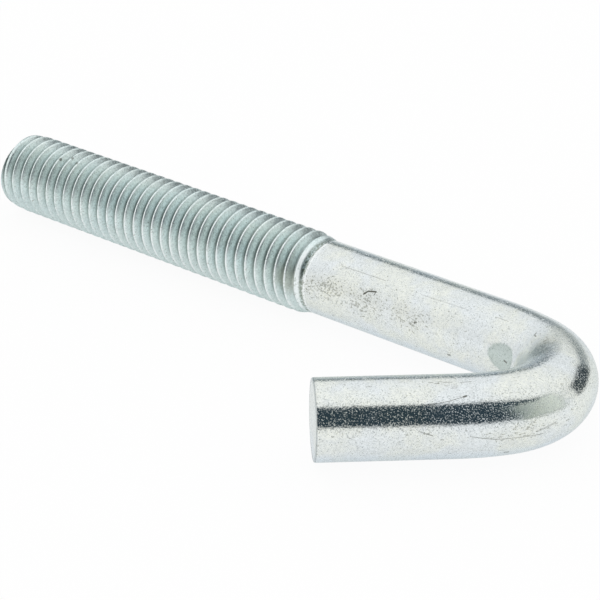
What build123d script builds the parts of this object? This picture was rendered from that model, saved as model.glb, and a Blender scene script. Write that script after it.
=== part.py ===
from build123d import *
import math
import os

# A hook bolt, bent cold from one length of round steel rod. A right-hand inch
# thread is rolled on one end, and the other end is turned back at an acute
# angle, so that the bolt makes a pointed J. It is one piece.
#
# Frame: millimetres. The origin is the centre of the threaded end's face, on
# the shank's axis. +X runs along the shank to the bend, the leg comes back on
# the -Y side, and +Z is up, square to the plane of the hook: the bolt lies on
# its side.
#
# The thread is rolled, not cut: the dies press grooves into the rod, and the
# steel that they push aside stands up as ridges. So the rod is thinner than the
# thread is over its crests. The model's grooves are two thirds as deep as real
# ones, and crest and root are brought to sharp edges, with each flank straight
# from one to the other. Real crests are narrow flats, and real roots are round.

# --- thread: 1/2 in, 13 to the inch ---------------------------------------

thread_diameter = 12.7           # over the crests
thread_pitch = 25.4 / 13
crest_height = 0.325 * thread_pitch      # of the crests above the rod
thread_depth = 0.415 * thread_pitch      # from the crests to the roots
thread_length = 64.9             # from the end face to the edge of the dies, where the grooves end
die_edge_angle = 60.0            # of the wall there that closes the grooves, to the axis, degrees
low_crest_length = 2.9           # the last crests are low: they start to fall this far before the edge
crest_fall_angle = 15.0          # of that fall, to the axis, degrees

# --- threaded end ---------------------------------------------------------

end_radius = 6.0                 # where the end's taper would meet the end face
end_taper_angle = 6.5            # of the first ridges, to the axis, degrees
end_break = 0.25                 # the end's edge is broken by this much

# --- hook -----------------------------------------------------------------

shank_length = 97.1              # straight part, from the end face to the bend
bend_angle = 135.0               # how far the rod is turned back, degrees
bend_inside_radius = 5.4         # round the former
lead_radius = 32.0               # of the axis, where the rod eases in and out of the bend
lead_angle = 13.0                # turned by each of these leads, degrees
leg_length = 19.0                # straight part, from the bend to the leg's face
leg_end_break = 0.12             # the leg's cut edge is broken by this much

# --- derived sizes --------------------------------------------------------

crest_radius = thread_diameter / 2
rod_radius = crest_radius - crest_height
root_radius = crest_radius - thread_depth
outside_radius = crest_radius + crest_height     # clear of the crests
bend_radius = bend_inside_radius + rod_radius


def helix_turn(start, radius):
    """One right-hand turn of a helix about the shank's axis. It starts straight below
    the axis, and ends there one pitch further along."""
    turn = Location((start, 0, 0), (0, 90, 0)) * Helix(thread_pitch, thread_pitch, radius)
    return turn.edge()


def turn_cap(start):
    """The two faces that close one end of the thread: a helicoid from the axis out to
    one turn of the crest, and the flat step below the axis between that turn's ends."""
    on_axis = Edge.make_line((start, 0, 0), (start + thread_pitch, 0, 0))
    helicoid = Face.make_surface_from_curves(on_axis, helix_turn(start, crest_radius))
    step = make_face(Polyline(
        (start, 0, 0),
        (start, 0, -crest_radius),
        (start + thread_pitch / 2, 0, -root_radius),
        (start + thread_pitch, 0, -crest_radius),
        (start + thread_pitch, 0, 0),
        close=True,
    )).face()
    return [helicoid, step]


def endless_thread():
    """The thread as the dies would roll it on an endless bar, from before the end face
    to past the dies' edge. Its crest passes straight below the axis at whole pitches."""
    first = -2
    last = math.ceil(thread_length / thread_pitch) + 1
    faces = turn_cap(first * thread_pitch) + turn_cap(last * thread_pitch)
    for turn in range(first, last):
        start = turn * thread_pitch
        crest = helix_turn(start, crest_radius)
        root = helix_turn(start + thread_pitch / 2, root_radius)
        next_crest = helix_turn(start + thread_pitch, crest_radius)
        faces.append(Face.make_surface_from_curves(crest, root))
        faces.append(Face.make_surface_from_curves(root, next_crest))
    return Solid(Shell(faces))


def unrolled_bar():
    """The bar past the edge of the dies, before it is brought to size: a cone, from
    inside the thread, whose wall closes the grooves where it is as thick as the rod."""
    inner_radius = root_radius - crest_height
    wall_slope = math.tan(math.radians(die_edge_angle))
    wall_start = thread_length - (rod_radius - inner_radius) / wall_slope
    wall_end = thread_length + (outside_radius - rod_radius) / wall_slope
    bar_end = shank_length + thread_pitch
    outline = Polyline(
        (wall_start, 0),
        (wall_start, inner_radius),
        (wall_end, outside_radius),
        (bar_end, outside_radius),
        (bar_end, 0),
        close=True,
    )
    return revolve(make_face(outline), Axis.X)


def shank_envelope():
    """The space that the finished shank fills: an end face with a broken edge, a taper
    over the first ridges, the thread, the fall of the last crests, and the rod."""
    taper = math.tan(math.radians(end_taper_angle))
    fall = math.tan(math.radians(crest_fall_angle))
    fall_start = thread_length - low_crest_length
    outline = Polyline(
        (0, 0),
        (0, end_radius - end_break),
        (end_break, end_radius + end_break * taper),
        ((outside_radius - end_radius) / taper, outside_radius),
        (fall_start - (outside_radius - crest_radius) / fall, outside_radius),
        (fall_start + (crest_radius - rod_radius) / fall, rod_radius),
        (shank_length, rod_radius),
        (shank_length, 0),
        close=True,
    )
    return revolve(make_face(outline), Axis.X)


def threaded_shank():
    """The straight part of the rod with its thread."""
    return (endless_thread() + unrolled_bar()) & shank_envelope()


def turned(face, radius, angle):
    """The rod from one cross-section on, turned clockwise through an angle, and the
    cross-section that it ends on. The radius is the axis's."""
    travel = face.normal_at()
    centre = face.center() + travel.cross(Vector(0, 0, 1)) * radius
    axis = Axis(centre, (0, 0, -1))
    return revolve(face, axis, angle), face.rotate(axis, angle)


def hook():
    """The bend, a tight arc between two easy ones, and the leg."""
    face = (Plane(origin=(shank_length, 0, 0), z_dir=(1, 0, 0)) * Circle(rod_radius)).face()
    lead_in, face = turned(face, lead_radius, lead_angle)
    bend, face = turned(face, bend_radius, bend_angle - 2 * lead_angle)
    lead_out, face = turned(face, lead_radius, lead_angle)
    leg = extrude(face, leg_length)
    cut_face = leg.faces().sort_by_distance(face.center())[-1]
    return lead_in + bend + lead_out + chamfer(cut_face.edges(), leg_end_break)


def j_bolt():
    """The whole bolt, one solid."""
    return threaded_shank() + hook()


os.makedirs("parts", exist_ok=True)
export_step(j_bolt(), "parts/j_bolt.step")
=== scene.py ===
"""A zinc-plated steel J bolt: a rolled thread at one end of a round rod, and a hook at the other."""

import math

import bpy
import numpy as np
from mathutils import Matrix, Vector


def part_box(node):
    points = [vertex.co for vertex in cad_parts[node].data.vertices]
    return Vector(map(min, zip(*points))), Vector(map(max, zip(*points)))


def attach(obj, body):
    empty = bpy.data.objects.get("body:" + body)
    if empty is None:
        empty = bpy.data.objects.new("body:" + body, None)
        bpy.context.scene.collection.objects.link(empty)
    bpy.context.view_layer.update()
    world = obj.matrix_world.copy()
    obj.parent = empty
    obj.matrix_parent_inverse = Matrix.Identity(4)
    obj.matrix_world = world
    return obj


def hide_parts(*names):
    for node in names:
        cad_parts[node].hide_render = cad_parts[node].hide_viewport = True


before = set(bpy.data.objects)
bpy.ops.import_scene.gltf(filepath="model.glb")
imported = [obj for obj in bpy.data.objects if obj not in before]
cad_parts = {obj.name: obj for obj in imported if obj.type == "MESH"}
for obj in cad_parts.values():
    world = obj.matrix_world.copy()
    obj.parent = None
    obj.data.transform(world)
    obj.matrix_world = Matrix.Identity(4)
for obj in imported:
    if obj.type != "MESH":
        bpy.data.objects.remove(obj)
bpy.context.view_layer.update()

# --- sizes of the bolt, in metres -------------------------------------------

MM = 0.001
lowest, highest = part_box("j_bolt")

crest_radius = (highest.z - lowest.z) / 2      # the crests are the bolt's thickest part
pitch = 25.4 / 13 * MM                         # 13 threads to the inch
rod_radius = crest_radius - 0.325 * pitch      # a rolled thread's rod has its pitch diameter
root_radius = crest_radius - 0.6134 * pitch    # the rounded bottom of the groove
crest_flat = pitch / 8
flank_angle = math.radians(60)                 # of a flank against the axis
crest_rounding = 0.05 * MM
root_rounding = 0.28 * MM

end_radius = 6.0 * MM                          # where the end's taper would meet the end face
end_taper = math.radians(6.5)
end_break = 0.25 * MM                          # the end's edge is broken by this much
end_break_slope = 1.1                          # of the radius along the broken edge
end_rounding = 0.06 * MM                       # between the broken edge and the taper
thread_length = 64.9 * MM                      # from the end face to the edge of the dies
die_edge_angle = math.radians(60)              # of the wall there that closes the groove
die_rounding = 0.05 * MM                       # between that wall and the groove
low_crest_length = 2.9 * MM                    # the crests start to fall this far before the edge
crest_fall_angle = math.radians(15)
cut_rounding = 0.03 * MM                       # where the ridges are cut down

shank_length = 97.1 * MM
lead_radius = 32.0 * MM
lead_angle = math.radians(13)
bend_radius = 5.4 * MM + rod_radius
bend_angle = math.radians(135)
leg_length = 19.0 * MM
leg_end_break = 0.12 * MM
leg_end_rounding = 0.05 * MM

# The bolt's axis as stretches of one curvature: (length, turn in radians).
stretches = [
    (shank_length, 0.0),
    (lead_radius * lead_angle, lead_angle),
    (bend_radius * (bend_angle - 2 * lead_angle), bend_angle - 2 * lead_angle),
    (lead_radius * lead_angle, lead_angle),
    (leg_length, 0.0),
]
bolt_length = sum(length for length, turn in stretches)


# --- shape --------------------------------------------------------------------

columns = 144                                  # round the bolt
around_columns = np.arange(columns) * (2 * math.pi / columns)

# Rows across one pitch, in pitches from the crest: close together where the profile turns.
profile_rows = np.array([-0.50, -0.455, -0.41, -0.36, -0.28, -0.19, -0.11, -0.06, 0.0,
                         0.06, 0.11, 0.19, 0.28, 0.36, 0.41, 0.455])
turns_before = 2                               # of the spiral that start before the end face
turns_after = 1                                # of it past the join
join = thread_length + 0.8 * MM                # where the helical rows give way to round ones
rod_row_count = 110
edge_row_count = 10
face_row_count = 9
weld_distance = 1e-8


def axis_point(along):
    """Place and heading of the bolt's axis at a distance along it, as x, y and the clockwise heading angle.

    Each stretch adds its own chord: with heading h at its start and curvature k, a length t adds
    (sin(h + k t) - sin h) / k to x and (cos(h + k t) - cos h) / k to y, or t cos h and -t sin h
    where it is straight. A point past the stretch gets the whole of it, a point before it nothing.
    """
    x = np.zeros_like(along)
    y = np.zeros_like(along)
    heading = np.zeros_like(along)
    start = 0.0
    start_heading = 0.0
    for length, turn in stretches:
        t = np.clip(along - start, 0.0, length)
        curvature = turn / length
        if turn:
            x += (np.sin(start_heading + curvature * t) - math.sin(start_heading)) / curvature
            y += (np.cos(start_heading + curvature * t) - math.cos(start_heading)) / curvature
        else:
            x += t * math.cos(start_heading)
            y -= t * math.sin(start_heading)
        heading += curvature * t
        start += length
        start_heading += turn
    return x, y, heading


def soft_min(a, b, width):
    """The smaller of a and b, with the corner between them rounded over about that width."""
    return (a + b - np.sqrt((a - b) ** 2 + width ** 2)) / 2


def soft_max(a, b, width):
    """The larger of a and b, with the corner between them rounded over about that width."""
    return -soft_min(-a, -b, width)


def smooth(value, low, high):
    """0 below low, 1 above high, and 3 t^2 - 2 t^3 between them."""
    t = np.clip((value - low) / (high - low), 0.0, 1.0)
    return t * t * (3 - 2 * t)


def thread_radius(along, around):
    """Radius of the threaded surface: a 60 degree thread whose crest passes below the axis at whole pitches.

    The distance from the nearest crest is folded from the helix coordinate, which is the place along in
    pitches less the share of a turn. From the edge of the crest's flat the flank falls by the tangent of
    its angle to the root, and both corners are rounded.
    """
    turn = along / pitch - (around + math.pi / 2) / (2 * math.pi)
    from_crest = np.abs(turn - np.round(turn)) * pitch
    flank = crest_radius - (from_crest - crest_flat / 2) * math.tan(flank_angle)
    return soft_min(soft_max(flank, root_radius, root_rounding), crest_radius, crest_rounding)


def crest_limit(along):
    """Radius that no crest passes: it falls with the die's edge from the full crest to the rod."""
    fall_start = thread_length - low_crest_length
    falling = crest_radius - (along - fall_start) * math.tan(crest_fall_angle)
    return np.minimum(soft_max(falling, rod_radius, cut_rounding), crest_radius)


def skin_radius(along, around):
    """Radius of the threaded end's skin. A steep wall closes the groove where it reaches the rod, and the
    crest limit, the end's taper and its broken edge cut the ridges down."""
    wall = rod_radius + (along - thread_length) * math.tan(die_edge_angle)
    grooved = soft_max(thread_radius(along, around), wall, die_rounding)
    radius = soft_min(grooved, crest_limit(along), cut_rounding)
    taper = end_radius + along * math.tan(end_taper)
    broken = end_radius - end_break + end_break_slope * along
    return soft_min(radius, soft_min(taper, broken, end_rounding), cut_rounding)


def straight_point(along, around, radius):
    """A point of the skin before the bolt was bent: its place along, then the radius times the cosine and
    the sine of the angle round the axis, which is 0 towards the bend's outer side and rises upwards."""
    return np.stack([along, radius * np.cos(around), radius * np.sin(around)], axis=-1)


def skin_point(along, around, radius):
    """The same point on the bent bolt. From the axis point, the radius times the cosine goes square to the
    heading, towards the bend's outer side, and the radius times the sine goes upwards."""
    x, y, heading = axis_point(along)
    side = radius * np.cos(around)
    height = radius * np.sin(around)
    return np.stack([x + side * np.sin(heading), y + side * np.cos(heading), height], axis=-1)


def thread_grid():
    """The threaded stretch as one spiral strip. A row keeps its place in the profile as it goes round,
    so it climbs a pitch in a turn and meets the row one pitch further on. Rows that would start before
    the end face, or end past the join, are held at those planes."""
    per_pitch = len(profile_rows)
    pitches = math.ceil(join / pitch) + turns_before + turns_after
    turns = (np.arange(pitches)[:, None] + profile_rows[None, :]).ravel() - turns_before
    along = pitch * (turns[:, None] + (around_columns[None, :] + math.pi / 2) / (2 * math.pi))
    along = np.clip(along, 0.0, join)
    around = np.broadcast_to(around_columns, along.shape)
    rows = len(turns)
    index = np.arange(rows * columns).reshape(rows, columns)
    wrapped = np.full((rows, 1), -1)
    wrapped[:-per_pitch, 0] = index[per_pitch:, 0]
    index = np.hstack([index, wrapped])[:-per_pitch]
    return along, around, skin_radius(along, around), index


def round_grid(along_rows, radius):
    """A stretch with round rows, from each row's distance along the axis and each point's radius."""
    along = np.repeat(along_rows[:, None], columns, axis=1)
    around = np.broadcast_to(around_columns, along.shape)
    index = np.arange(along.size).reshape(along.shape)
    return along, around, radius, np.hstack([index, index[:, :1]])


def leg_rows():
    """Rows from the join to the middle of the leg's face: the rod, its broken edge, the flat face."""
    rod_rows = np.linspace(join, bolt_length - 3 * leg_end_break, rod_row_count)
    edge_rows = np.linspace(bolt_length - 2 * leg_end_break, bolt_length, edge_row_count)
    along = np.concatenate([rod_rows, edge_rows])
    broken = rod_radius - leg_end_break + (bolt_length - along)
    radius = soft_min(np.full_like(along, rod_radius), broken, leg_end_rounding)
    face_share = np.linspace(1.0, 0.0, face_row_count)[1:]
    along = np.concatenate([along, np.full(len(face_share), bolt_length)])
    radius = np.concatenate([radius, radius[-1] * face_share])
    return round_grid(along, np.repeat(radius[:, None], columns, axis=1))


def end_rows():
    """Rows from the middle of the threaded end's face out to its edge, which the thread has notched."""
    share = np.linspace(0.0, 1.0, face_row_count)
    along = np.zeros_like(share)
    edge = skin_radius(np.zeros(columns), around_columns)
    return round_grid(along, share[:, None] * edge[None, :])


def grid_triangles(index):
    """Two triangles for each cell of a grid of vertex numbers, facing outwards."""
    a = index[:-1, :-1].ravel()
    b = index[:-1, 1:].ravel()
    c = index[1:, 1:].ravel()
    d = index[1:, :-1].ravel()
    return np.concatenate([np.stack([a, b, c], axis=1), np.stack([a, c, d], axis=1)])


def welded(points, triangles):
    """Points that coincide become one, and triangles that have lost a side are dropped. Gives the numbers
    of the points that are kept, and the triangles in terms of those."""
    keys = np.round(points / weld_distance).astype(np.int64)
    _, first, number = np.unique(keys, axis=0, return_index=True, return_inverse=True)
    triangles = number.ravel()[triangles]
    whole = (triangles[:, 0] != triangles[:, 1]) & (triangles[:, 1] != triangles[:, 2])
    whole &= triangles[:, 2] != triangles[:, 0]
    return first, triangles[whole]


def placed(name, data):
    """An object of this name in the scene, for a mesh or a camera."""
    item = bpy.data.objects.new(name, data)
    bpy.context.scene.collection.objects.link(item)
    return item


def surface_masks(straight):
    """Where the finish and the painted light and shade change, as a value from 0 to 1 at each point of the
    straight bolt. Each is a smooth
    step, or a product of two, in the distance past the dies' edge, the radius or the distance along:

    threaded: up to the dies' edge.
    crest: within a few hundredths of a millimetre of the radius that no crest passes, up to the run_out.
    groove: from half the thread's depth below that radius to the whole of it, where shade is painted.
    run_out: the strip of the last groove at the dies' edge, painted in shade, which starts earlier towards
    the top.
    lip: the strip of the rod just past it, painted bright as a highlight.
    leg_edge: the outermost ring of the leg's end, painted in shade.
    """
    along = straight[:, 0]
    radius = np.hypot(straight[:, 1], straight[:, 2])
    top = crest_limit(along)
    past = along - thread_length
    upwards = np.maximum(straight[:, 2] / rod_radius, 0)
    run_out = smooth(past + 0.35 * MM * upwards, -0.55 * MM, -0.30 * MM)
    plain_rod = smooth(past, 0.20 * MM, 0.40 * MM)
    near_leg_end = smooth(along, bolt_length - 0.22 * MM, bolt_length - 0.10 * MM)
    near_leg_rim = smooth(radius, rod_radius - 0.22 * MM, rod_radius - 0.12 * MM)
    return {
        "threaded": 1 - smooth(past, -0.15 * MM, 0.0),
        "crest": smooth(radius, top - 0.07 * MM, top - 0.02 * MM) * (1 - run_out),
        "groove": smooth((top - radius) / (crest_radius - root_radius), 0.50, 1.0),
        "run_out": run_out * (1 - plain_rod),
        "lip": plain_rod * (1 - smooth(past, 0.45 * MM, 0.80 * MM)),
        "leg_edge": near_leg_end * near_leg_rim,
    }


def bolt_skin():
    """The bolt's whole surface as one closed mesh, from its end face to its leg's face. Its attribute
    straight holds each point's place on the bolt as it was before it was bent."""
    points, straight, triangles = [], [], []
    count = 0
    for along, around, radius, index in (end_rows(), thread_grid(), leg_rows()):
        points.append(skin_point(along, around, radius).reshape(-1, 3))
        straight.append(straight_point(along, around, radius).reshape(-1, 3))
        triangles.append(grid_triangles(index) + count)
        count += along.size
    points = np.concatenate(points)
    kept, triangles = welded(points, np.concatenate(triangles))
    straight = np.concatenate(straight)[kept]
    mesh = bpy.data.meshes.new("bolt_skin")
    mesh.vertices.add(len(kept))
    mesh.vertices.foreach_set("co", points[kept].ravel())
    mesh.loops.add(triangles.size)
    mesh.loops.foreach_set("vertex_index", triangles.ravel())
    mesh.polygons.add(len(triangles))
    mesh.polygons.foreach_set("loop_start", np.arange(0, triangles.size, 3))
    mesh.polygons.foreach_set("use_smooth", np.ones(len(triangles), dtype=bool))
    mesh.update(calc_edges=True)
    mesh.attributes.new("straight", "FLOAT_VECTOR", "POINT").data.foreach_set("vector", straight.ravel())
    for name, values in surface_masks(straight).items():
        mesh.attributes.new(name, "FLOAT", "POINT").data.foreach_set("value", values)
    mesh.validate()
    return placed("bolt_skin", mesh)


# --- shader nodes ---------------------------------------------------------------


def add(tree, kind, inputs=None, **settings):
    """One shader node with its settings. Each input is a plain value, or the output that feeds it."""
    item = tree.nodes.new(kind)
    for name, value in settings.items():
        setattr(item, name, value)
    for socket, value in (inputs or {}).items():
        if isinstance(value, bpy.types.NodeSocket):
            tree.links.new(value, item.inputs[socket])
        else:
            item.inputs[socket].default_value = value
    return item


def math_node(tree, operation, *values):
    """The result of one arithmetic step on plain values or sockets."""
    return add(tree, "ShaderNodeMath", dict(enumerate(values)), operation=operation).outputs[0]


def vector_node(tree, operation, *values):
    """The result of one step on vectors: a number for a dot product or a length, otherwise a vector."""
    item = add(tree, "ShaderNodeVectorMath", dict(enumerate(values)), operation=operation)
    return item.outputs["Value" if operation in ("DOT_PRODUCT", "LENGTH") else "Vector"]


def smooth_step(tree, value, low, high):
    """0 below low, 1 above high, and a smooth rise between; low may be above high."""
    inputs = {"Value": value, "From Min": low, "From Max": high}
    return add(tree, "ShaderNodeMapRange", inputs, interpolation_type="SMOOTHSTEP").outputs["Result"]


def ramp(tree, value, low, high, at_low, at_high):
    """A straight ramp from one result where the value is low to another where it is high, held beyond."""
    inputs = {"Value": value, "From Min": low, "From Max": high, "To Min": at_low, "To Max": at_high}
    return add(tree, "ShaderNodeMapRange", inputs).outputs["Result"]


def noise(tree, vector, scale, detail, roughness):
    """Noise between 0 and 1, with its scale in features a metre."""
    inputs = {"Vector": vector, "Scale": scale, "Detail": detail, "Roughness": roughness}
    return add(tree, "ShaderNodeTexNoise", inputs).outputs["Fac"]


def mottle(tree, vector, grain, limits):
    """Noise as a mask: 0 below the first limit and 1 above the second."""
    return smooth_step(tree, noise(tree, vector, *grain), *limits)


def mix_colour(tree, share, first, second):
    """The first colour, or the second where the share is 1."""
    return add(tree, "ShaderNodeMix", {0: share, 6: first, 7: second}, data_type="RGBA").outputs[2]


def layer(tree, below, mask, strength, colour):
    """The colour below, covered by another where the mask is 1, as far as the strength says."""
    return mix_colour(tree, math_node(tree, "MULTIPLY", mask, strength), below, colour)


def greatest(tree, masks):
    """The greatest of several masks."""
    result = masks[0]
    for mask in masks[1:]:
        result = math_node(tree, "MAXIMUM", result, mask)
    return result


def new_group(name, inputs, outputs):
    """An empty shader group with named sockets: inputs as (name, kind, default), outputs as (name, kind).
    Gives the group, the sockets that bring its inputs and the ones that take its outputs."""
    group = bpy.data.node_groups.new(name, "ShaderNodeTree")
    for label, kind, default in inputs:
        socket = group.interface.new_socket(label, in_out="INPUT", socket_type="NodeSocket" + kind)
        if default is not None:
            socket.default_value = default
    for label, kind in outputs:
        group.interface.new_socket(label, in_out="OUTPUT", socket_type="NodeSocket" + kind)
    return group, group.nodes.new("NodeGroupInput").outputs, group.nodes.new("NodeGroupOutput").inputs


def place_group(tree, group, inputs):
    """The outputs of a group placed in a tree with its own values."""
    return add(tree, "ShaderNodeGroup", inputs, node_tree=group).outputs


# --- finish, with painted light and shade -------------------------------------

# Grains of the plating and of the painted shade: the noise's (features a metre, detail, roughness), and the
# limits of its mask.
tint_grain = ((150.0, 3.0, 0.6), (0.40, 0.60))          # a slow drift between two tints
cloud_grain = ((700.0, 4.0, 0.7), (0.35, 0.65))
fleck_grain = ((3400.0, 1.0, 0.6), (0.42, 0.62))
thread_grain = ((3000.0, 3.0, 0.7), (0.42, 0.60))
far_side_shade_grain = ((2200.0, 3.0, 0.7), (0.40, 0.58))
run_out_shade_grain = ((2100.0, 3.0, 0.7), (0.38, 0.60))
crook_darkening_grain = ((2600.0, 3.0, 0.7), (0.30, 0.60))
grit_grain = ((5200.0, 1.0, 0.5), (0.52, 0.68))         # of the roughness
crest_highlight_noise = (2200.0, 3.0, 0.7)                         # of the crests' painted highlight
speck_noise = (3800.0, 2.0, 0.6)
spot_noise = (1500.0, 2.0, 0.6)                         # of the dull spot's outline
crystal_noise = (3400.0, 2.0, 0.6)
swell_noise = (520.0, 2.0, 0.5)

speck_level = 0.63                                      # a speck shows where its noise passes this
gritty_level_drop = 0.13                                # and where the plating is gritty, this much less
crest_highlight_levels = (0.55, 0.37)                              # the same for the crests' painted highlight, at the end and further on
crest_highlight_rise = 35.0 * MM                                   # from the end to where the highlight is full
spot_unevenness = 0.20                                  # of the dull spot's outline, as a share of its size
crystal_height = 0.018 * MM
swell_height = 0.025 * MM

# Roughness between the grit's grains and on them, and what the crook of the hook adds.
rod_roughness = (0.12, 0.66)
thread_roughness = (0.36, 0.62)
crook_roughness = 0.22

# Soft patches of the surface: (along in mm, around in degrees), half sizes along and across in mm.
grime_patch = ((62.5, 172), (4.2, 3.4))                 # in the last turns of the thread
crook_darkening_patch = ((113.9, 117), (3.6, 3.4))               # a mottled darker patch deep in the crook, on the bend
crook_patch = ((111.0, 138), (10.0, 8.5))               # duller plating in the crook of the hook
dull_spot = ((103.3, 170.5), (3.4, 1.95))
# Gritty stretches of the rod, with their depth after the same values.
gritty = [
    ((66.8, 170), (3.2, 3.0), 0.9), ((70.0, 164), (5.0, 3.0), 1.0), ((77.0, 166), (6.0, 3.6), 0.9),
    ((85.0, 166), (6.5, 3.0), 0.7), ((111.3, 107), (2.5, 2.2), 1.0), ((114.5, 116), (3.5, 2.0), 1.0),
    ((134.5, 80), (3.5, 1.5), 0.6), ((126.0, 0), (7.0, 2.0), 0.6),
]
# Dark scratches: (along in mm, around in degrees) of both ends, half the width in mm, depth.
scratches = [
    ((76.4, 154), (77.0, 148), 0.08, 0.9), ((77.0, 148), (78.3, 145), 0.08, 0.9),
    ((78.3, 145), (78.2, 150), 0.05, 0.8), ((74.5, 174.5), (75.9, 175), 0.10, 0.35),
    ((131.9, 55), (132.2, 54), 0.09, 0.85), ((132.2, 54), (134.2, 48), 0.03, 0.7),
    ((134.2, 48), (137.5, 43), 0.03, 0.6), ((136.4, 2), (137.0, 4), 0.05, 0.6),
    ((137.0, 4), (138.3, 9), 0.05, 0.4), ((136.6, 7), (137.6, 4), 0.04, 0.4),
    ((123.4, -10), (128.7, -8), 0.04, 0.5), ((128.7, -8), (131.6, -1), 0.04, 0.5),
    ((122.2, 2), (124.0, -4), 0.10, 0.3), ((107.4, 113), (107.7, 117), 0.08, 0.6),
    ((107.7, 117), (108.3, 117), 0.08, 0.6), ((103.8, 173), (104.6, 174), 0.09, 0.7),
    ((86.2, 169), (86.5, 167), 0.09, 0.7), ((92.2, 202), (92.5, 201), 0.12, 0.6),
    ((70.6, 125), (78.9, 124), 0.05, 0.30), ((85.6, 126), (94.0, 124), 0.04, 0.25),
    ((98.5, 120), (101.0, 119), 0.05, 0.3), ((136.5, 80), (136.0, 80), 0.06, 0.45),
    ((135.7, 78), (135.2, 78), 0.07, 0.45), ((134.6, 80), (133.4, 80), 0.05, 0.45),
    ((133.3, 72), (132.8, 72), 0.06, 0.35), ((132.3, 79), (130.9, 80), 0.05, 0.45),
    ((133.7, 68), (132.9, 69), 0.05, 0.35), ((144.2, 75), (144.9, 75), 0.07, 0.3),
    ((126.7, -39), (127.1, -38), 0.12, 0.5),
]
# Pits in the ridges near the end: (along in mm, around in degrees) at the crest and at the root, depth.
pits = [
    ((8.3, 93.6), (7.4, 84), 0.8), ((11.3, 116.8), (10.0, 108.3), 0.7), ((13.0, 107.2), (11.5, 94.2), 0.6),
    ((14.7, 113.9), (13.4, 104.3), 0.5), ((19.85, 87.5), (19.1, 78), 1.0), ((25.8, 93.3), (24.9, 84), 0.5),
]
pit_half_width = 0.17


def scratch_group():
    """Group: 1 on a straight scratch between two points of the bolt, falling to 0 over its half width
    outside it. The nearest point is the start plus the share t of the way to the end, where t is the
    dot product of the two offsets over the length squared, held between 0 and 1."""
    inputs = [(name, "Vector", None) for name in ("Place", "Start", "End")]
    inputs.append(("Half Width", "Float", 0.1 * MM))
    group, given, result = new_group("scratch", inputs, [("Mask", "Float")])
    way = vector_node(group, "SUBTRACT", given["End"], given["Start"])
    offset = vector_node(group, "SUBTRACT", given["Place"], given["Start"])
    along_way = vector_node(group, "DOT_PRODUCT", offset, way)
    share = math_node(group, "DIVIDE", along_way, vector_node(group, "DOT_PRODUCT", way, way))
    share = math_node(group, "MINIMUM", math_node(group, "MAXIMUM", share, 0.0), 1.0)
    nearest = add(group, "ShaderNodeVectorMath", {0: way, "Scale": share}, operation="SCALE")
    away = vector_node(group, "SUBTRACT", offset, nearest.outputs["Vector"])
    away = vector_node(group, "LENGTH", away)
    wide = math_node(group, "MULTIPLY", given["Half Width"], 2.0)
    group.links.new(smooth_step(group, away, wide, given["Half Width"]), result["Mask"])
    return group


def patch_group():
    """Group: a soft oval patch. Share is the length of the offset from the centre divided by the half
    sizes, which is 1 at the patch's edge. Mask falls from 1 in the middle to 0 at the edge."""
    inputs = [("Place", "Vector", None), ("Centre", "Vector", None), ("Half Size", "Vector", None)]
    group, given, result = new_group("patch", inputs, [("Share", "Float"), ("Mask", "Float")])
    offset = vector_node(group, "SUBTRACT", given["Place"], given["Centre"])
    share = vector_node(group, "LENGTH", vector_node(group, "DIVIDE", offset, given["Half Size"]))
    group.links.new(share, result["Share"])
    group.links.new(smooth_step(group, share, 1.0, 0.2), result["Mask"])
    return group


def on_rod(along_mm, around_degrees, radius=rod_radius):
    """A point of the rod's surface on the straight bolt, as the attribute straight gives it."""
    around = math.radians(around_degrees)
    return (along_mm * MM, radius * math.cos(around), radius * math.sin(around))


def surface_sockets(tree):
    """What the finish is worked out from: the place, the place on the straight bolt and its three parts,
    the bolt's own masks, and the two broad grains that rod and thread share."""
    at = {"place": add(tree, "ShaderNodeTexCoord").outputs["Object"]}
    straight = add(tree, "ShaderNodeAttribute", attribute_name="straight").outputs["Vector"]
    at["straight"] = straight
    at["along"], at["across"], at["height"] = add(tree, "ShaderNodeSeparateXYZ", {"Vector": straight}).outputs
    for mask in ("threaded", "crest", "groove", "run_out", "lip", "leg_edge"):
        at[mask] = add(tree, "ShaderNodeAttribute", attribute_name=mask).outputs["Fac"]
    at["tint"] = mottle(tree, straight, *tint_grain)
    at["cloud"] = mottle(tree, at["place"], *cloud_grain)
    return at


def place_patch(tree, at, patch, centre, half_sizes):
    """The outputs of the patch group for one patch of the surface."""
    half_along, half_across = half_sizes
    return place_group(tree, patch, {
        "Place": at["straight"], "Centre": on_rod(*centre),
        "Half Size": (half_along * MM, half_across * MM, half_across * MM)})


def scratch_mask(tree, at, scratch, start, end, half_width_mm, depth):
    """The mask of one scratch, times its depth."""
    mask = place_group(tree, scratch, {
        "Place": at["straight"], "Start": start, "End": end, "Half Width": half_width_mm * MM})["Mask"]
    return math_node(tree, "MULTIPLY", mask, depth)


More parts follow.
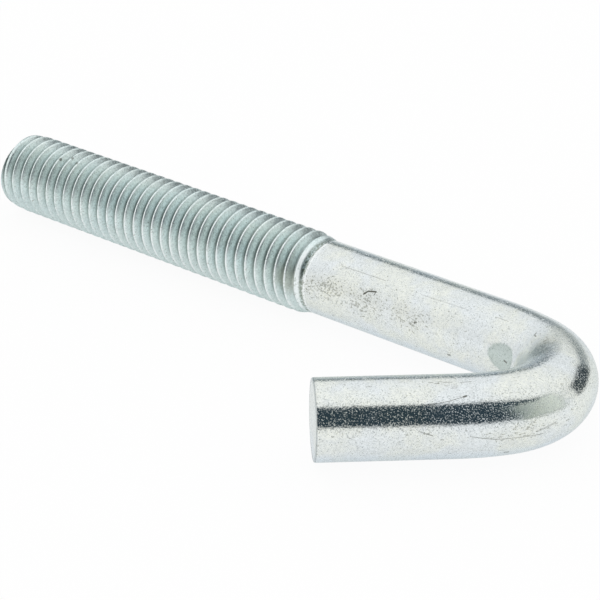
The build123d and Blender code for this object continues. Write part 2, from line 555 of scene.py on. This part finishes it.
def rod_colour(tree, at, grit_zone):
    """The plain rod: clouds and flecks on the two tints, yellower where it is gritty, with a painted
    reflection that makes it bluer underneath, painted bright as a highlight on the lip past the thread, and
    painted in shade round the leg's end."""
    # painted reflection: the rod's underside is bluer and a little darker, as if the shaded floor below were
    # mirrored in it
    under = smooth_step(tree, at["height"], -0.40 * rod_radius, -0.65 * rod_radius)
    colour = mix_colour(tree, at["tint"], (0.84, 0.89, 0.91, 1), (0.88, 0.91, 0.85, 1))
    colour = layer(tree, colour, grit_zone, 0.5, (0.82, 0.83, 0.72, 1))
    colour = layer(tree, colour, at["cloud"], 0.35, (0.72, 0.76, 0.75, 1))
    colour = layer(tree, colour, mottle(tree, at["place"], *fleck_grain), 0.40, (0.64, 0.68, 0.69, 1))
    colour = layer(tree, colour, under, 0.5, (0.78, 0.86, 0.93, 1))
    # painted highlight: the lip past the thread is painted near white
    colour = mix_colour(tree, at["lip"], colour, (0.96, 1.0, 1.0, 1))
    # painted shade: a dark ring round the edge of the leg's end
    return layer(tree, colour, at["leg_edge"], 0.55, (0.30, 0.34, 0.36, 1))


def crest_highlights(tree, at):
    """Mask of the crests' painted highlight, broken up like wear: where the noise passes a level that falls
    away from the end, so that the first turns are highlit less, and hardly at all underneath or at the very
    top."""
    level = ramp(tree, at["along"], 0.0, crest_highlight_rise, *crest_highlight_levels)
    highlit = math_node(tree, "SUBTRACT", noise(tree, at["place"], *crest_highlight_noise), level)
    highlit = smooth_step(tree, highlit, 0.0, 0.10)
    not_under = smooth_step(tree, at["height"], -0.92 * rod_radius, -0.55 * rod_radius)
    not_top = smooth_step(tree, at["height"], 1.05 * rod_radius, 0.80 * rod_radius)
    for limit in (not_under, not_top, at["crest"]):
        highlit = math_node(tree, "MULTIPLY", highlit, limit)
    return highlit


def thread_colour(tree, at, patch):
    """The thread: grainy, with painted shade on its lower side, in its groove and, mottled, on the far side,
    grimy next to the rod, and with a painted highlight on its crests."""
    # painted shade: darker towards the thread's lower side
    shade = smooth_step(tree, at["height"], 0.15 * crest_radius, -0.45 * crest_radius)
    # painted shade, mottled, on the thread's far side
    far_side = smooth_step(tree, at["across"], 0.05 * crest_radius, 0.45 * crest_radius)
    far_side_shade = math_node(tree, "MULTIPLY", mottle(tree, at["place"], *far_side_shade_grain), far_side)
    grime = place_patch(tree, at, patch, *grime_patch)["Mask"]
    colour = mix_colour(tree, at["tint"], (0.88, 1.0, 1.0, 1), (0.90, 1.0, 0.98, 1))
    colour = layer(tree, colour, at["cloud"], 0.15, (0.68, 0.80, 0.80, 1))
    colour = layer(tree, colour, mottle(tree, at["place"], *thread_grain), 0.42, (0.48, 0.57, 0.56, 1))
    colour = layer(tree, colour, shade, 0.40, (0.55, 0.66, 0.66, 1))
    # painted shade in the groove, darkest towards its root
    colour = mix_colour(tree, at["groove"], colour, (0.26, 0.32, 0.30, 1))
    colour = layer(tree, colour, far_side_shade, 0.60, (0.30, 0.35, 0.36, 1))
    colour = layer(tree, colour, grime, 0.6, (0.42, 0.44, 0.37, 1))
    # painted highlight: the crests are painted near white
    return mix_colour(tree, crest_highlights(tree, at), colour, (0.94, 1.0, 1.0, 1))


def specked(tree, at, grit_zone, colour):
    """The colour with dark specks: sparse everywhere, and far more of them where the plating is gritty,
    because the level that their noise has to pass is lower there."""
    longer_along = vector_node(tree, "MULTIPLY", at["straight"], (0.7, 1.0, 1.0))
    drop = math_node(tree, "MULTIPLY", grit_zone, gritty_level_drop)
    level = math_node(tree, "SUBTRACT", speck_level, drop)
    speck = math_node(tree, "SUBTRACT", noise(tree, longer_along, *speck_noise), level)
    return layer(tree, colour, smooth_step(tree, speck, 0.0, 0.08), 0.62, (0.25, 0.26, 0.21, 1))


def spotted(tree, at, patch, colour):
    """The colour with the dull spot: the patch's share, made uneven by noise, gives the spot's outline and
    the darker rim just inside it."""
    share = place_patch(tree, at, patch, *dull_spot)["Share"]
    uneven = math_node(tree, "MULTIPLY", noise(tree, at["place"], *spot_noise), spot_unevenness)
    share = math_node(tree, "SUBTRACT", math_node(tree, "ADD", share, uneven), spot_unevenness / 2)
    spot = smooth_step(tree, share, 1.12, 0.88)
    rim = math_node(tree, "MULTIPLY", spot, smooth_step(tree, share, 0.80, 0.98))
    colour = layer(tree, colour, spot, 0.8, (0.50, 0.58, 0.55, 1))
    return layer(tree, colour, rim, 0.25, (0.30, 0.36, 0.34, 1))


def scratched(tree, at, colour):
    """The colour with the dark scratches, and the pits, which are scratches from a crest to the root."""
    scratch = scratch_group()
    masks = []
    for start, end, half_width, depth in scratches:
        masks.append(scratch_mask(tree, at, scratch, on_rod(*start), on_rod(*end), half_width, depth))
    for outer, inner, depth in pits:
        crest = on_rod(*outer, crest_radius)
        root = on_rod(*inner, root_radius)
        masks.append(scratch_mask(tree, at, scratch, crest, root, pit_half_width, depth))
    return mix_colour(tree, greatest(tree, masks), colour, (0.08, 0.08, 0.06, 1))


def dullness(tree, at, patch):
    """Roughness: dull grains in a satin plating, duller in the thread and in the crook of the hook."""
    grit = mottle(tree, at["place"], *grit_grain)
    crook = place_patch(tree, at, patch, *crook_patch)["Mask"]
    rod_dull = ramp(tree, grit, 0.0, 1.0, *rod_roughness)
    rod_dull = math_node(tree, "ADD", rod_dull, math_node(tree, "MULTIPLY", crook, crook_roughness))
    thread_dull = ramp(tree, grit, 0.0, 1.0, *thread_roughness)
    return add(tree, "ShaderNodeMix", {0: at["threaded"], 2: rod_dull, 3: thread_dull}).outputs[0]


def relief(tree, at):
    """Normal of the plating's relief: fine crystals on a slow swell of the rod under them."""
    crystals = math_node(tree, "MULTIPLY", noise(tree, at["place"], *crystal_noise), crystal_height)
    swell = math_node(tree, "MULTIPLY", noise(tree, at["place"], *swell_noise), swell_height)
    height = math_node(tree, "ADD", crystals, swell)
    return add(tree, "ShaderNodeBump", {"Height": height, "Distance": 1.0, "Strength": 1.0}).outputs["Normal"]


def zinc_plate():
    """Clear zinc on drawn steel: bright and satin on the rod, duller in the thread, with a painted highlight
    on its crests and painted shade where the thread runs out, with specks, a mottled dark patch in the crook,
    a dull spot, scratches and pits."""
    material = bpy.data.materials.new("zinc_plate")
    material.use_nodes = True
    tree = material.node_tree
    at = surface_sockets(tree)
    patch = patch_group()
    grit_masks = []
    for centre, half_sizes, depth in gritty:
        mask = place_patch(tree, at, patch, centre, half_sizes)["Mask"]
        grit_masks.append(math_node(tree, "MULTIPLY", mask, depth))
    grit_zone = greatest(tree, grit_masks)
    # painted shade: a mottled dark strip in the last groove, where the thread runs out
    run_out_shade = math_node(tree, "MULTIPLY", mottle(tree, at["place"], *run_out_shade_grain), at["run_out"])
    # a mottled darker patch in the deepest part of the crook of the hook
    crook_darkening = place_patch(tree, at, patch, *crook_darkening_patch)["Mask"]
    crook_darkening = math_node(tree, "MULTIPLY", crook_darkening, mottle(tree, at["place"], *crook_darkening_grain))

    rod = rod_colour(tree, at, grit_zone)
    colour = mix_colour(tree, at["threaded"], rod, thread_colour(tree, at, patch))
    colour = layer(tree, colour, run_out_shade, 0.85, (0.22, 0.26, 0.20, 1))
    colour = specked(tree, at, grit_zone, colour)
    colour = layer(tree, colour, crook_darkening, 0.75, (0.33, 0.39, 0.39, 1))
    colour = spotted(tree, at, patch, colour)
    colour = scratched(tree, at, colour)

    shader = tree.nodes["Principled BSDF"]
    tree.links.new(colour, shader.inputs["Base Color"])
    tree.links.new(dullness(tree, at, patch), shader.inputs["Roughness"])
    tree.links.new(relief(tree, at), shader.inputs["Normal"])
    shader.inputs["Metallic"].default_value = 1.0
    shader.inputs["Specular Tint"].default_value = (0.84, 0.87, 0.88, 1.0)    # duller where seen edge on
    return material


# --- studio -------------------------------------------------------------------

camera_place = (0.27469, -0.25500, 0.14893)
camera_target = (0.067356, -0.008813, 0.0)
camera_roll = math.radians(0.79)
camera_lens = 144.28          # mm
camera_sensor = 36.0          # mm wide

floor_half = 3.0              # m
seen_white = 0.93             # the share of plain white in the floor as the camera sees it
mirrored_white = 0.65         # and as metal mirrors it


def camera():
    """The camera: at its place, turned so that it looks at its target, and rolled about its view."""
    lens = bpy.data.cameras.new("camera")
    lens.lens = camera_lens
    lens.sensor_width = camera_sensor
    lens.clip_start = 0.01
    item = placed("camera", lens)
    back = (Vector(camera_place) - Vector(camera_target)).normalized()
    right = Vector((0, 0, 1)).cross(back).normalized()
    turn = Matrix((right, back.cross(right), back)).transposed().to_4x4()
    item.matrix_world = Matrix.Translation(camera_place) @ turn @ Matrix.Rotation(camera_roll, 4, "Z")
    bpy.context.scene.camera = item


def floor():
    """A plain white floor under the bolt. The camera and metal see it mostly as plain white, and the rest
    of it is shaded, so that it keeps the bolt's shadow."""
    corners = [(-1, -1), (1, -1), (1, 1), (-1, 1)]
    mesh = bpy.data.meshes.new("floor")
    mesh.from_pydata([(x * floor_half, y * floor_half, lowest.z) for x, y in corners], [], [(0, 1, 2, 3)])
    item = placed("floor", mesh)
    material = bpy.data.materials.new("floor_white")
    material.use_nodes = True
    tree = material.node_tree
    shader = tree.nodes["Principled BSDF"]
    shader.inputs["Base Color"].default_value = (0.95, 0.95, 0.95, 1.0)
    shader.inputs["Roughness"].default_value = 1.0
    ray = add(tree, "ShaderNodeLightPath").outputs
    mirrored = math_node(tree, "ADD", ray["Is Glossy Ray"], ray["Is Transmission Ray"])
    mirrored = math_node(tree, "MULTIPLY", mirrored, mirrored_white)
    seen = math_node(tree, "MULTIPLY_ADD", ray["Is Camera Ray"], seen_white, mirrored)
    share = math_node(tree, "MINIMUM", seen, 1.0)
    white = add(tree, "ShaderNodeEmission", {"Color": (1.0, 1.0, 1.0, 1.0), "Strength": 1.0})
    mixed = add(tree, "ShaderNodeMixShader", {0: share, 1: shader.outputs[0], 2: white.outputs[0]})
    tree.links.new(mixed.outputs[0], tree.nodes["Material Output"].inputs["Surface"])
    item.data.materials.append(material)


def soft_window_group():
    """Group: 1 inside a window of the room, given by its middle and half sizes in degrees round and up
    from the horizon, falling smoothly to 0 from the softness inside its edge to the softness outside."""
    names = ("Round", "Up", "Middle Round", "Half Round", "Middle Up", "Half Up")
    inputs = [(name, "Float", 0.0) for name in names] + [("Softness", "Float", 5.0)]
    group, given, result = new_group("soft_window", inputs, [("Mask", "Float")])
    inside = math_node(group, "MULTIPLY", given["Softness"], -1.0)
    sides = []
    for name in ("Round", "Up"):
        away = math_node(group, "SUBTRACT", given[name], given["Middle " + name])
        past = math_node(group, "SUBTRACT", math_node(group, "ABSOLUTE", away), given["Half " + name])
        sides.append(smooth_step(group, past, given["Softness"], inside))
    group.links.new(math_node(group, "MULTIPLY", *sides), result["Mask"])
    return group


def window_mask(tree, window, view, middle_round, half_round, middle_up, half_up, softness):
    """The mask of one window of the room, for a view given by its angles round and up."""
    return place_group(tree, window, {
        "Round": view[0], "Up": view[1], "Middle Round": middle_round, "Half Round": half_round,
        "Middle Up": middle_up, "Half Up": half_up, "Softness": softness})["Mask"]


def studio_world():
    """A white room as metal sees it, with angles in degrees round from +X towards +Y, and up from the
    horizon. A grey side wall stands in a darker frame, the back wall has a dark top and goes on as a lower
    one to a dark corner, and the front is open and dark, with a gap over the side wall that narrows to a
    point. The camera and dull surfaces see it plain white."""
    world = bpy.data.worlds.new("studio")
    bpy.context.scene.world = world
    world.use_nodes = True
    tree = world.node_tree
    direction = add(tree, "ShaderNodeTexCoord").outputs["Generated"]
    parts = add(tree, "ShaderNodeSeparateXYZ", {"Vector": direction}).outputs
    round_angle = math_node(tree, "DEGREES", math_node(tree, "ARCTAN2", parts["Y"], parts["X"]))
    up_angle = math_node(tree, "DEGREES", math_node(tree, "ARCSINE", parts["Z"]))
    view = (round_angle, up_angle)
    window = soft_window_group()
    side_rise = smooth_step(tree, round_angle, -14.0, 36.0)
    side_wall = mix_colour(tree, side_rise, (0.36, 0.40, 0.37, 1), (0.76, 0.80, 0.76, 1))
    # Each wall's middle and half size round, middle and half size up, softness, and colour. A later wall
    # covers the ones before it.
    walls = [
        ((12.5, 24.5, 18.0, 24.0, 1.0), (0.32, 0.35, 0.32, 1)),         # side wall's frame
        ((12.0, 23.0, 22.0, 19.5, 1.5), side_wall),
        ((139.0, 19.0, 14.0, 11.0, 2.0), (0.41, 0.46, 0.49, 1)),        # back wall
        ((139.0, 19.0, 19.5, 4.5, 1.5), (0.20, 0.23, 0.24, 1)),         # its dark top
        ((98.0, 25.0, 11.0, 8.5, 2.0), (0.44, 0.47, 0.48, 1)),          # back wall's low end
        ((98.0, 25.0, 15.0, 3.5, 1.5), (0.22, 0.25, 0.26, 1)),          # its dark top
        ((69.5, 16.5, 13.0, 12.0, 1.5), (0.045, 0.06, 0.07, 1)),        # dark corner
        ((-46.5, 35.5, 32.3, 27.8, 2.0), (0.030, 0.050, 0.065, 1)),     # open front
    ]
    room = mix_colour(tree, smooth_step(tree, up_angle, 0.0, 70.0), (0.90, 0.90, 0.90, 1), (1.0, 1.0, 1.0, 1))
    for sizes, colour in walls:
        room = mix_colour(tree, window_mask(tree, window, view, *sizes), room, colour)
    gap_half = ramp(tree, round_angle, -14.0, 30.0, 11.0, 0.0)
    gap_middle = math_node(tree, "ADD", gap_half, 39.0)
    gap = window_mask(tree, window, view, 8.0, 22.0, gap_middle, gap_half, 1.8)
    room = mix_colour(tree, gap, room, (0.035, 0.06, 0.075, 1))
    ray = add(tree, "ShaderNodeLightPath").outputs
    plain = math_node(tree, "MAXIMUM", ray["Is Camera Ray"], ray["Is Diffuse Ray"])
    seen = mix_colour(tree, plain, room, (1.0, 1.0, 1.0, 1))
    tree.links.new(seen, tree.nodes["Background"].inputs["Color"])
    tree.nodes["Background"].inputs["Strength"].default_value = 1.0


bolt = bolt_skin()
bolt.data.materials.append(zinc_plate())
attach(bolt, "root")
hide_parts("j_bolt")
floor()
studio_world()
camera()
bpy.context.scene.view_settings.view_transform = "Standard"
